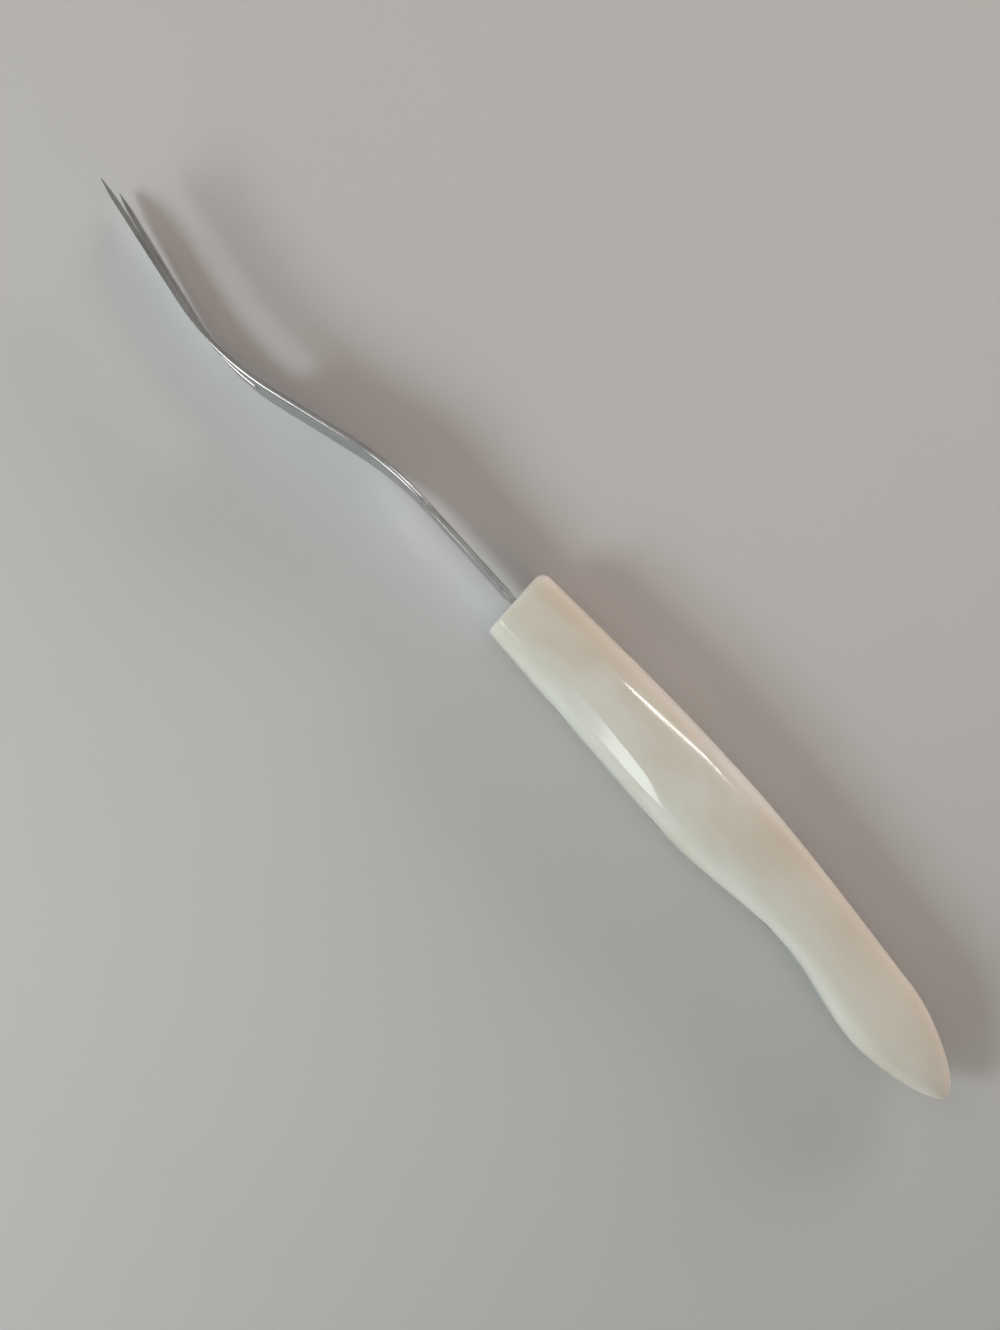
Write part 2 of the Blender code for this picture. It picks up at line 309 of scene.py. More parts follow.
def smooth(rows, place):
    """Values at the places on the smooth curve through rows of place, value and slope."""
    place = np.asarray(place, float)
    value = np.full(place.shape, float(rows[0][1]))
    for (x0, v0, m0), (x1, v1, m1) in zip(rows, rows[1:]):
        span = x1 - x0
        p = np.clip((place - x0) / span, 0, 1)
        rise = p * p * (3 - 2 * p)
        value += (v1 - v0) * rise + span * p * (1 - p) * (m0 * (1 - p) - m1 * p)
    return value


def soft_least(value, most, reach):
    """The lesser of the two, with the corner where they meet rounded over the reach."""
    share = np.clip(0.5 + 0.5 * (most - value) / reach, 0, 1)
    return value * share + most * (1 - share) - reach * share * (1 - share)


print(f"front face at x {FRONT:.1f} mm, middle {MIDDLE:.1f} mm above the table")
print(f"flat lands {2 * LAND:.1f} mm apart")

# %% A point of the skin
def handle_skin(place, turn, inset=0.0, shrink=1.0):
    """Points at places behind the front face and turns round the section, in metres."""
    left = np.clip((HANDLE_LENGTH - place) / BUTT_TAPER_LENGTH, 0, 1)
    taper = (1 - (1 - left) ** BUTT_TAPER_POWER) ** (1 / BUTT_TAPER_POWER)
    back = smooth(BACK_HEIGHT, place) * taper
    belly = smooth(BELLY_HEIGHT, place) * taper
    half_height = (back + belly) / 2 - inset
    half_depth = smooth(HALF_DEPTH, place) * taper - inset
    power = 2 / smooth(SQUARENESS, place)
    side = np.sign(np.cos(turn)) * np.abs(np.cos(turn)) ** power
    up = np.sign(np.sin(turn)) * np.abs(np.sin(turn)) ** power
    y = (belly - back) / 2 + half_height * side * shrink
    land_border = LAND_BORDER + LAND_BORDER_GROWS * np.clip(place - SOFTER_FROM, 0, SOFTER_OVER)
    z = soft_least(half_depth * np.abs(up), LAND, land_border)
    past_crease = y - FLAT_STARTS
    border = FLAT_BORDER_INNER + FLAT_BORDER_GROWS * np.clip(past_crease, 0, None)
    z = np.sign(up) * soft_least(z, LAND - FLAT_SLOPE * past_crease, border) * shrink
    slant = FRONT_SLANT * np.clip(1 - place / FRONT_SLANT_FADES_OVER, 0, 1) ** 2
    return np.stack([FRONT - place - slant * y, y, MIDDLE + z], axis=-1) * MM


front_middle = handle_skin(np.zeros(1), np.zeros(1), 0.0, 0.0)[0]
beak = handle_skin(np.full(1, HANDLE_LENGTH), np.zeros(1))[0]
print(f"from the middle of the front face to the beak: {np.linalg.norm(front_middle - beak) / MM:.1f} mm")

# %% Rings of the skin
RING_POINTS = 240
FACE_RINGS, EDGE_RINGS, BODY_STEP, BUTT_RINGS = 5, 10, 0.6, 44
turn = np.linspace(0, 2 * math.pi, RING_POINTS, endpoint=False)
towards_back = ((1 - np.cos(turn)) / 2) ** FRONT_EDGE_POWER
edge_radius = FRONT_EDGE_BELLY + (FRONT_EDGE_BACK - FRONT_EDGE_BELLY) * towards_back
at_front = np.zeros(RING_POINTS)

rings = [handle_skin(at_front, turn, edge_radius, k / FACE_RINGS) for k in range(1, FACE_RINGS)]
for quarter in np.linspace(0, math.pi / 2, EDGE_RINGS):
    place = edge_radius * (1 - math.cos(quarter))
    rings.append(handle_skin(place, turn, edge_radius * (1 - math.sin(quarter))))
butt_start = HANDLE_LENGTH - BUTT_TAPER_LENGTH
for share in np.arange(BODY_STEP, butt_start, BODY_STEP) / butt_start:
    rings.append(handle_skin(edge_radius * (1 - share) + butt_start * share, turn))
for k in range(BUTT_RINGS):
    left = BUTT_TAPER_LENGTH * (1 - k / BUTT_RINGS) ** 2
    rings.append(handle_skin(at_front + HANDLE_LENGTH - left, turn))
print(f"skin: {len(rings)} rings of {RING_POINTS} points")

# %% Close the rings to a mesh
def outward(mesh):
    """Turns all faces of a closed mesh outwards."""
    body = bmesh.new()
    body.from_mesh(mesh)
    bmesh.ops.recalc_face_normals(body, faces=body.faces)
    body.to_mesh(mesh)
    body.free()


def lofted(name, rings, first, last):
    """A closed object over rings of points, drawn together to one point at either end."""
    rings = np.asarray(rings)
    rows, count = rings.shape[:2]
    points = np.concatenate([[first], rings.reshape(-1, 3), [last]])
    following = (np.arange(count) + 1) % count
    faces = [(0, 1 + n, 1 + k) for k, n in enumerate(following)]
    for row in range(rows - 1):
        a, b = 1 + row * count, 1 + (row + 1) * count
        faces += [(a + k, a + n, b + n, b + k) for k, n in enumerate(following)]
    end = len(points) - 1
    a = 1 + (rows - 1) * count
    faces += [(a + k, a + n, end) for k, n in enumerate(following)]
    mesh = bpy.data.meshes.new(name)
    mesh.from_pydata(points.tolist(), [], faces)
    outward(mesh)
    mesh.shade_smooth()
    return placed(name, mesh)


handle_blank = lofted("handle_blank", rings, front_middle, beak)
print(f"handle blank: {len(handle_blank.data.polygons)} faces")

# %% [markdown]
# ## Slot and bores
# The blade's tang goes into a slot in the front face. The mouth of the slot is wider, because the shank is
# wider than the tang. Three rivets cross the tang from the back to the belly, with their heads sunk in bores.
# On the real handle the slot is moulded and the bores are drilled. Here a copy of the blank loses them to
# Boolean cutters, and the uncut blank is kept for a while, because the rivet heads are ground flush with it
# later. A turned cutter is a loft too: its rings are circles.

# %% Sizes of the tang and the rivets
SHEET_THICKNESS = 1.1
TANG_HALF_WIDTH, SHANK_HALF_WIDTH = 4.0, 5.6
TANG_END, FIRST_BEND = (-104.0, 2.1), (36.0, -0.85)
RIVET_PLACES = (22.0, 52.0, 82.0)
HEAD_RADIUS, HEAD_DEPTH, SLEEVE_RADIUS, PIN_RADIUS = 2.6, 3.0, 1.7, 1.0
tang_slope = (FIRST_BEND[1] - TANG_END[1]) / (FIRST_BEND[0] - TANG_END[0])


def tang_height(place):
    """How far the tang lies towards the back, at a place behind the front face."""
    return FIRST_BEND[1] + tang_slope * (-place - FIRST_BEND[0])


def reaches(place):
    """From the tang to the back of the handle, and to its belly."""
    return (
        float(smooth(BACK_HEIGHT, place)) - tang_height(place),
        float(smooth(BELLY_HEIGHT, place)) + tang_height(place),
    )


print("rivets in mm from head to head:", [round(sum(reaches(place)), 1) for place in RIVET_PLACES])

# %% Turned pieces
TURNED_POINTS = 64


def turned(name, profile, centre=(0, 0, 0)):
    """A piece turned about Y from rows of radius and height towards the back, from end to end, in mm."""
    around = np.linspace(0, 2 * math.pi, TURNED_POINTS, endpoint=False)
    centre = np.array(centre)
    rings = [
        centre + np.stack([r * np.cos(around), np.full(TURNED_POINTS, -h), r * np.sin(around)], axis=-1)
        for r, h in profile[1:-1]
    ]
    ends = [centre + np.array((0, -profile[k][1], 0)) for k in (0, -1)]
    return lofted(name, np.array(rings) * MM, ends[0] * MM, ends[1] * MM)


BORE_CLEARANCE, BORE_BEYOND = 0.03, 3.0


def rivet_bore(place):
    """The space that one rivet takes, from beyond the back to beyond the belly."""
    back, belly = reaches(place)
    head, neck = HEAD_RADIUS + BORE_CLEARANCE, SLEEVE_RADIUS + BORE_CLEARANCE
    back_end, back_seat = back + BORE_BEYOND, back - HEAD_DEPTH - BORE_CLEARANCE
    belly_end, belly_seat = -belly - BORE_BEYOND, HEAD_DEPTH + BORE_CLEARANCE - belly
    profile = (
        (0, back_end), (head, back_end), (head, back_seat), (neck, back_seat),
        (neck, belly_seat), (head, belly_seat), (head, belly_end), (0, belly_end),
    )
    return turned("rivet_bore", profile, (FRONT - place, -tang_height(place), MIDDLE))


print(f"bores: {2 * (HEAD_RADIUS + BORE_CLEARANCE):.2f} mm across at the heads")

# %% Blocks for the slot
SLOT_CLEARANCE, SLOT_LONGER = 0.2, 1.0
MOUTH_DEPTH, MOUTH_WIDER = 5.0, 0.03


def block(name, size, centre, turn_about_z):
    body = bmesh.new()
    bmesh.ops.create_cube(body, size=1)
    place = Matrix.Translation(Vector(centre) * MM) @ Matrix.Rotation(turn_about_z, 4, "Z")
    body.transform(place @ Matrix.Diagonal((*(Vector(size) * MM), 1)))
    mesh = bpy.data.meshes.new(name)
    body.to_mesh(mesh)
    body.free()
    return placed(name, mesh)


def slot(name, depth, half_width, clearance):
    size = (2 * depth, SHEET_THICKNESS + 2 * clearance, 2 * (half_width + SLOT_CLEARANCE))
    return block(name, size, (FRONT, -tang_height(0), MIDDLE), -math.atan(tang_slope))


print(f"slot: {SHEET_THICKNESS + 2 * SLOT_CLEARANCE:.1f} mm for {SHEET_THICKNESS} mm of sheet")

# %% Cut the handle
def settle(piece):
    """Turns what the piece's modifiers make into its own plain mesh."""
    seen = piece.evaluated_get(bpy.context.evaluated_depsgraph_get())
    mesh = bpy.data.meshes.new_from_object(seen)
    piece.modifiers.clear()
    piece.data = mesh


def carve(piece, tools):
    """Cuts the tools out of the piece and removes them."""
    for tool in tools:
        cut = piece.modifiers.new(tool.name, "BOOLEAN")
        cut.operation = "DIFFERENCE"
        cut.solver = "EXACT"
        cut.object = tool
    settle(piece)
    for tool in tools:
        bpy.data.objects.remove(tool)


def dress(piece, material, sharp_degrees):
    """Gives the whole piece one material, with smooth faces and edges that are sharp past an angle."""
    mesh = piece.data
    mesh.materials.clear()
    mesh.materials.append(material)
    mesh.polygons.foreach_set("material_index", [0] * len(mesh.polygons))
    mesh.shade_smooth()
    mesh.set_sharp_from_angle(angle=math.radians(sharp_degrees))


handle = placed("handle_skin", handle_blank.data.copy())
carve(handle, [
    slot("tang_slot", SLOT_LONGER - TANG_END[0], TANG_HALF_WIDTH, SLOT_CLEARANCE),
    slot("slot_mouth", MOUTH_DEPTH, SHANK_HALF_WIDTH, SLOT_CLEARANCE + MOUTH_WIDER),
    *(rivet_bore(place) for place in RIVET_PLACES),
])
dress(handle, RESIN, sharp_degrees=32)
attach(handle, "root")
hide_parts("handle")
print(f"handle: {len(handle.data.polygons)} faces after the slot and {len(RIVET_PLACES)} bores")

# %% [markdown]
# ## The steel of the blade
# The blade is stainless sheet, polished along its length on a wheel. Close up that leaves fine lines from the
# tang to the tips. The lines have to follow the bends, so they read the blade's own flat coordinates, which
# the blade will carry as an attribute, and not the place in the room.

# %% Polished steel
BLANK_PLACE = "blank_place"
LINE_SIZE, BAND_SIZE, SMEAR_SIZE = 0.09, 1.6, 11.0
STEEL_BRIGHT, STEEL_DULL = screen_colour(206, 205, 202), screen_colour(183, 181, 178)


def polished_steel():
    material, place, shader = new_finish(
        "polished_steel", Metallic=1.0, Specular_Tint=(0.7, 0.72, 0.74, 1.0))
    flat = place.node("ShaderNodeAttribute", {"attribute_name": BLANK_PLACE}, None, "Vector")
    lines = noise(stretched(flat, 0.006, 1.0, 1.0), LINE_SIZE, 2.0, 0.6)
    bands = noise(stretched(flat, 0.15, 1.0, 1.0), BAND_SIZE, 3.0, 0.6)
    smears = noise(flat, SMEAR_SIZE, 4.0, 0.65)
    feed(
        shader,
        Base_Color=mixed(ramp_up(smears, 0.35, 0.7), STEEL_BRIGHT, STEEL_DULL),
        Roughness=0.13 + bands * 0.08 + ramp_up(lines, 0.5, 0.75) * 0.06,
        Normal=bump(lines + bands * 0.1, 0.0012, 0.3),
    )
    return material


STEEL = polished_steel()
print("finish:", STEEL.name)

# %% [markdown]
# ## The bent line of the blade
# Seen from the side, the blade is one line with two round bends. The line is drawn with straight runs and
# arcs, as the bending tool makes them, and the flat blank is bent along it afterwards.

# %% Draw the line
SECOND_BEND, TINE_TIP = (75.3, -13.0), (117.0, -5.8)
BEND_RADII = (68.0, 54.0)
LINE_STEP = 0.5


def rounded_corner(before, corner, after, radius):
    """Points of the arc that rounds a corner."""
    start, end = (before - corner).normalized(), (after - corner).normalized()
    half_angle = start.angle(end) / 2
    run = radius / math.tan(half_angle)
    centre = corner + (start + end).normalized() * radius / math.sin(half_angle)
    first, last = corner + start * run - centre, corner + end * run - centre
    sweep = -first.angle_signed(last)
    count = math.ceil(radius * abs(sweep) / LINE_STEP)
    return [centre + Matrix.Rotation(sweep * k / count, 2) @ first for k in range(count + 1)]


def bent_line():
    """Points along the middle of the sheet, from the tang's end to the tine tips, as place and height."""
    corners = [Vector(corner) for corner in (TANG_END, FIRST_BEND, SECOND_BEND, TINE_TIP)]
    line = [corners[0]]
    for k, radius in enumerate(BEND_RADII):
        line += rounded_corner(*corners[k:k + 3], radius)
    return np.array(line + [corners[-1]])


line = bent_line()
line_length = np.concatenate([[0], np.cumsum(np.linalg.norm(np.diff(line, axis=0), axis=1))])


def developed(place):
    """The length along the bent line at a place in front of the handle's front face."""
    return np.interp(place, line[:, 0], line_length)


def line_object():
    curve = bpy.data.curves.new("bent_line", "CURVE")
    curve.dimensions = "3D"
    spline = curve.splines.new("POLY")
    spline.points.add(len(line) - 1)
    for point, (place, height) in zip(spline.points, line):
        point.co = ((FRONT + place) * MM, -height * MM, MIDDLE * MM, 1)
    return placed("bent_line", curve)


print(f"bent line: {len(line)} points, {line_length[-1]:.1f} mm of sheet")

# %% [markdown]
# ## The flat blank
# A press stamps the blank out of the sheet: a tang with a round end, a shank, a wide shoulder, and two tines
# with a round crotch between them. The blank is a grid of points in its own plane, length along X and width
# along Z. Where its edges are, the columns crowd together, because the edges are rounded next.

# %% Outline of the blank
OUTER_EDGE = (
    (-104, 3.4, 0), (-4.6, 4.0, 0), (-2.6, 5.6, 0), (22, 5.5, 0), (46, 8.0, 0),
    (72, 8.0, 0), (110, 7.0, -0.05), (117, 6.1, -0.22),
)
INNER_EDGE = ((68.3, 2.3, 0), (92, 2.4, 0.01), (108, 3.0, 0.12), (117, 5.9, 0.45))
SHEET = ((-104, 1.1, 0), (58, 1.1, 0), (86, 1.0, 0), (112, 0.95, 0), (117, 0.25, -0.16))
crotch, crotch_radius = INNER_EDGE[0][:2]
crotch_start = crotch - crotch_radius
tang_radius = OUTER_EDGE[0][1]
tang_start = TANG_END[0] + tang_radius


def edges_at(place):
    """Inner and outer half widths of the blank at a place."""
    outer = float(smooth(OUTER_EDGE, place))
    to_tang_end = tang_start - place
    if to_tang_end > 0:
        outer = math.sqrt(max(tang_radius ** 2 - to_tang_end ** 2, 0))
    inner = float(smooth(INNER_EDGE, place)) if place > crotch else 0.0
    if crotch_start < place <= crotch:
        inner = math.sqrt(crotch_radius ** 2 - (crotch - place) ** 2)
    return inner, outer


print(f"crotch {crotch_start:.1f} mm from the handle, blank {2 * edges_at(crotch_start)[1]:.1f} mm wide there")

# %% Rows and columns of the blank
EDGE_DEPTH, EDGE_POWER = 0.22, 2.0
EDGE_COLUMNS, INNER_COLUMNS, CROWDING_STARTS, WIDEST_RIM = 12, 5, 8.0, 0.4
ROW_STEP, TANG_STEP, ARC_ROWS, TIP_ROWS = 0.6, 2.0, 14, 8
TIP_RUN, RIM_ROOM = 2 * ROW_STEP, 1.2 * EDGE_DEPTH


def edge_rim():
    """Distances from an edge at which the rounded thickness grows in even steps."""
    share = np.linspace(0, 1, EDGE_COLUMNS)
    return EDGE_DEPTH * (1 - (1 - share ** EDGE_POWER) ** (1 / EDGE_POWER))


def row_places():
    """Places of the rows: close together round the tang's end, at the crotch and at the tips."""
    quarter = np.linspace(0, math.pi / 2, ARC_ROWS)
    near_crotch = crotch_start - edge_rim()[::-1]
    return np.concatenate([
        tang_start - tang_radius * np.cos(quarter),
        np.arange(tang_start + TANG_STEP, -MOUTH_DEPTH, TANG_STEP),
        np.arange(-MOUTH_DEPTH, crotch_start - RIM_ROOM, ROW_STEP),
        near_crotch[:-1],
        crotch - crotch_radius * np.cos(quarter),
        np.arange(crotch + ROW_STEP, TINE_TIP[0] - TIP_RUN, ROW_STEP),
        TINE_TIP[0] - TIP_RUN * np.linspace(1, 0, TIP_ROWS) ** 2,
    ])


def columns(place):
    """Places across one half of the blank, crowded at its edges, and even where it has no inner edge."""
    inner, outer = edges_at(place)
    rim = edge_rim() * min(1.0, WIDEST_RIM * (outer - inner) / EDGE_DEPTH)
    middle = np.linspace(inner + rim[-1], outer - rim[-1], INNER_COLUMNS + 2)[1:-1]
    crowded = np.concatenate([inner + rim, middle])
    even = np.linspace(0, middle[-1], len(crowded))
    before_crotch = np.clip((crotch_start - place) / CROWDING_STARTS, 0, 1)
    return np.concatenate([crowded + (even - crowded) * before_crotch, outer - rim[::-1]])


print(f"grid: {len(row_places())} rows of {2 * len(columns(crotch))} points")

# %% Stamp the blank
SAME_POINT = 1e-7


def mark(mesh, label, values, kind="FLOAT"):
    """Gives the mesh a value at each point, for a tree to read."""
    mesh.attributes.new(label, kind, "POINT").data.foreach_set("value", values)


def flat_blank():
    points, sheets, rows = [], [], []
    for place in row_places():
        across = columns(place)
        row = {}
        for half in (1, -1):
            row[half] = list(range(len(points), len(points) + len(across)))
            points += [(developed(place) * MM, 0, half * z * MM) for z in across]
        sheets += [float(smooth(SHEET, place)) * MM] * (2 * len(across))
        rows.append(row)
    faces = []
    for row, following in zip(rows, rows[1:]):
        for half in (1, -1):
            quads = zip(row[half], row[half][1:], following[half][1:], following[half])
            faces += [quad[::half] for quad in quads]
    mesh = bpy.data.meshes.new("flat_blank")
    mesh.from_pydata(points, [], faces)
    mark(mesh, "sheet", sheets)
    body = bmesh.new()
    body.from_mesh(mesh)
    bmesh.ops.remove_doubles(body, verts=body.verts, dist=SAME_POINT)
    body.to_mesh(mesh)
    body.free()
    return placed("fork_blade_skin", mesh)


blade = flat_blank()
print(f"flat blank: {len(blade.data.polygons)} faces")

# %% [markdown]
# ## Rounding and bending the blank
# Two rules turn the flat blank into the blade. The polishing wheel rounds every edge alike, so the thickness
# at a point depends only on its distance from the nearest edge. The bending tool moves each point to the
# place on the bent line that has the same length. Geometry Nodes suit both: Geometry Proximity measures the
# distance, and Sample Curve finds the place. The wheel doesn't reach close to the handle, so the shank keeps
# a squarer edge there. Use has left a slight twist in the shank and the shoulder, and a lean of the upper
# tine.

# %% Helpers for geometry trees
def geometry_tree(name, inputs):
    """A tree with a geometry input and output and the named inputs, and the wires of its inputs."""
    tree = bpy.data.node_groups.new(name, "GeometryNodeTree")
    tree.interface.new_socket("Geometry", in_out="OUTPUT", socket_type="NodeSocketGeometry")
    tree.interface.new_socket("Geometry", in_out="INPUT", socket_type="NodeSocketGeometry")
    for label, kind in inputs.items():
        tree.interface.new_socket(label, in_out="INPUT", socket_type=kind)
    sockets = tree.nodes.new("NodeGroupInput").outputs
    return tree, {socket.name: Wire(tree, socket) for socket in sockets if socket.name}


def end_tree(geometry, material):
    """Ends a tree: nothing stays an instance, and the result has its material."""
    whole = geometry.node("GeometryNodeRealizeInstances", None, {0: geometry})
    coated = geometry.node("GeometryNodeSetMaterial", None, {0: whole, "Material": material})
    last = geometry.tree.nodes.new("NodeGroupOutput")
    geometry.tree.links.new(coated.socket, last.inputs[0])


def run_tree(piece, tree, values):
    """Runs the tree on the piece with these values, and leaves a plain mesh."""
    modifier = piece.modifiers.new(tree.name, "NODES")
    modifier.node_group = tree
    for item in tree.interface.items_tree:
        if item.in_out == "INPUT" and item.name in values:
            modifier[item.identifier] = values[item.name]
    settle(piece)


def named(wire, name, kind="FLOAT"):
    """A value that the mesh carries at each point."""
    return wire.node("GeometryNodeInputNamedAttribute", {"data_type": kind}, {"Name": name})


print("geometry trees: named inputs, set by identifier, ended as plain meshes")

# %% Sizes for the rounding and the bends
LEAN_STARTS, UPPER_TINE_LEAN = 82.0, 0.027
TWIST_STARTS, TWIST_FADES, TWIST_ENDS = 0.0, 66.0, 86.0
TWIST, TWIST_GROWS_OVER = 0.035, 3.0
SQUARE_EDGE_DEPTH, SQUARE_EDGE_ENDS, SQUARE_EDGE_FADE = 0.12, 27.0, 7.0
places_on_blank = {
    "Square edge ends": SQUARE_EDGE_ENDS, "Lean starts": LEAN_STARTS, "Twist starts": TWIST_STARTS,
    "Twist fades": TWIST_FADES, "Twist ends": TWIST_ENDS,
}
BLADE_SIZES = {
    "Edge depth": EDGE_DEPTH * MM, "Edge power": EDGE_POWER,
    "Square edge depth": SQUARE_EDGE_DEPTH * MM, "Square edge fade": SQUARE_EDGE_FADE * MM,
    "Upper tine lean": UPPER_TINE_LEAN, "Twist": TWIST, "Twist grows over": TWIST_GROWS_OVER * MM,
    **{name: float(developed(place)) * MM for name, place in places_on_blank.items()},
}
print("in mm along the sheet:", {name: round(BLADE_SIZES[name] / MM, 1) for name in places_on_blank})

# %% Rules for thickness and for wear
def rounded_half(blank, along, given):
    """Half the thickness of the sheet at each point, rounded off towards the rim."""
    neighbours = blank.node("GeometryNodeInputMeshEdgeNeighbors")
    on_rim = neighbours.node(
        "FunctionNodeCompare", {"data_type": "INT", "operation": "EQUAL"}, {2: neighbours, 3: 1})
    rim = blank.node("GeometryNodeSeparateGeometry", {"domain": "EDGE"}, {0: blank, 1: on_rim})
    from_rim = rim.node("GeometryNodeProximity", {"target_element": "EDGES"}, {0: rim}, "Distance")
    ends, fade, power = given["Square edge ends"], given["Square edge fade"], given["Edge power"]
    depth = ramp_up(along, ends - fade, ends + fade, given["Square edge depth"], given["Edge depth"])
    short = along.math("MAXIMUM", 1 - from_rim / depth, 0.0)
    return named(blank, "sheet") * 0.5 * (1 - short ** power) ** (1 / power)


def pushed_aside(along, width, given):
    """How far use has pushed each point out of the sheet."""
    upper = width.math("GREATER_THAN", width, 0.0)
    lean = along.math("MAXIMUM", along - given["Lean starts"], 0.0) * given["Upper tine lean"] * upper
    start = given["Twist starts"]
    growing = ramp_up(along, start, start + given["Twist grows over"])
    twist = growing * ramp_up(along, given["Twist fades"], given["Twist ends"], 1.0, 0.0)
    return lean - width * twist * given["Twist"]


print("rules: the rim's distance sets the thickness, the length along the sheet sets lean and twist")

# %% Build the tree that rounds and bends
MERGE_WITHIN = 0.5e-6


def blade_tree():
    tree, given = geometry_tree("round_and_bend", {
        "Bent line": "NodeSocketObject", "Material": "NodeSocketMaterial",
        **dict.fromkeys(BLADE_SIZES, "NodeSocketFloat"),
    })
    blank = given["Geometry"]
    place = blank.node("GeometryNodeInputPosition")
    along, width = place.part(0), place.part(2)
    half, aside = rounded_half(blank, along, given), pushed_aside(along, width, given)

    bent = blank.node("GeometryNodeObjectInfo", None, {"Object": given["Bent line"]}, "Geometry")
    at_length = {"Curves": bent, "Length": along}
    sample = bent.node("GeometryNodeSampleCurve", {"mode": "LENGTH"}, at_length, "Position")
    across = sample.vector("CROSS_PRODUCT", (0, 0, 1), sample.output("Tangent"))
    height = sample.node("ShaderNodeCombineXYZ", None, {"Z": width})
    middle = sample.vector("ADD", sample, height)

    kept = blank.node("GeometryNodeStoreNamedAttribute", {"data_type": "FLOAT_VECTOR"}, {
        "Geometry": blank, "Name": BLANK_PLACE, "Value": place,
    })
    faces = []
    for offset in (aside + half, aside - half):
        moved = sample.vector("ADD", middle, across.scaled(offset))
        faces.append(blank.node("GeometryNodeSetPosition", None, {"Geometry": kept, "Position": moved}))
    turned_over = blank.node("GeometryNodeFlipFaces", None, {0: faces[1]})
    joined = tree.nodes.new("GeometryNodeJoinGeometry")
    for side in (faces[0], turned_over):
        tree.links.new(side.socket, joined.inputs[0])
    both = Wire(tree, joined.outputs[0])
    closed = both.node("GeometryNodeMergeByDistance", None, {"Geometry": both, "Distance": MERGE_WITHIN})
    rounded = closed.node("GeometryNodeSetShadeSmooth", None, {"Geometry": closed})
    end_tree(rounded, given["Material"])
    return tree


BLADE_TREE = blade_tree()
print("blade tree:", len(BLADE_TREE.nodes), "nodes")

# %% Make the blade
bent_line_guide = line_object()
run_tree(blade, BLADE_TREE, {"Bent line": bent_line_guide, "Material": STEEL, **BLADE_SIZES})
bpy.data.objects.remove(bent_line_guide)
outward(blade.data)
carve(blade, [rivet_bore(place) for place in RIVET_PLACES])
dress(blade, STEEL, sharp_degrees=50)
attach(blade, "root")
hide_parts("fork_blade")
print(f"blade: {len(blade.data.polygons)} faces")

# %% [markdown]
# ## Rivets
# Three two-part rivets hold the tang: a pin from the back is pressed into a sleeve from the belly, and the
# heads are ground flush with the handle. The metal is nickel silver, a little warmer than the steel, with the
# rings that the grinding left.

# %% Nickel silver
GRIND_SIZE, TARNISH_SIZE = 0.12, 1.8
NICKEL_BRIGHT, NICKEL_DULL = screen_colour(205, 199, 186), screen_colour(176, 166, 148)


def nickel_silver():
    material, place, shader = new_finish("nickel_silver", Metallic=1.0)
    grind = noise(stretched(place, 0.05, 1.0, 1.0), GRIND_SIZE, 2.0, 0.6)
    tarnish = noise(place, TARNISH_SIZE, 4.0, 0.6)
    feed(
        shader,
        Base_Color=mixed(ramp_up(tarnish, 0.4, 0.75), NICKEL_BRIGHT, NICKEL_DULL),
        Roughness=0.22 + ramp_up(grind, 0.45, 0.7) * 0.14,
        Normal=bump(grind, 0.006, 0.5),
    )
    return material


NICKEL = nickel_silver()
print("finish:", NICKEL.name)

# %% [markdown]
# One rivet half is turned once, as a blank whose head and tail are still at the tang. The tree sets a copy on
# each of three points along the tang, stretches it so that the head reaches the skin of the handle there and
# the tail stops short of the other head, and grinds the crown flush: a ray from outside finds the skin. The
# sleeve is left solid, with the pin running inside it, because nothing sees in there.

# %% Build the rivet tree
def rivet_tree():
    tree, given = geometry_tree("set_rivets", {
        "Blank": "NodeSocketObject", "Skin": "NodeSocketObject", "Way out": "NodeSocketVector",
        "Ray starts": "NodeSocketFloat", "Ray length": "NodeSocketFloat", "Material": "NodeSocketMaterial",
    })
    points, out = given["Geometry"], given["Way out"]
    blank = points.node("GeometryNodeObjectInfo", None, {"Object": given["Blank"]}, "Geometry")
    skin = points.node("GeometryNodeObjectInfo", None, {"Object": given["Skin"]}, "Geometry")
    copies = points.node("GeometryNodeInstanceOnPoints", None, {"Points": points, "Instance": blank})
    whole = copies.node("GeometryNodeRealizeInstances", None, {0: copies})
    to_head = named(points, "is_head") * named(points, "head_reach")
    to_tail = named(points, "is_tail") * named(points, "tail_reach")
    stretched_out = whole.node("GeometryNodeSetPosition", None, {
        "Geometry": whole, "Offset": out.scaled(to_head - to_tail),
    })
    place = points.node("GeometryNodeInputPosition")
    outside = place.vector("ADD", place, out.scaled(given["Ray starts"]))
    ray = skin.node("GeometryNodeRaycast", None, {
        "Target Geometry": skin, "Source Position": outside,
        "Ray Direction": out.scaled(-1.0), "Ray Length": given["Ray length"],
    }, "Hit Position")
    flush = ray.vector("ADD", ray, out.scaled(named(points, "proud")))
    ground = stretched_out.node("GeometryNodeSetPosition", None, {
        "Geometry": stretched_out, "Selection": named(points, "is_crown", "BOOLEAN"), "Position": flush,
    })
    smooth_all = ground.node("GeometryNodeSetShadeSmooth", None, {"Geometry": ground})
    end_tree(smooth_all, given["Material"])
    return tree


RIVET_TREE = rivet_tree()
print("rivet tree:", len(RIVET_TREE.nodes), "nodes")

# %% Turn the rivet blanks
CROWN_RINGS = 8
RIM_CHAMFER, CROWN_PROUD, PIN_STOPS_SHORT = 0.14, 0.02, 0.3


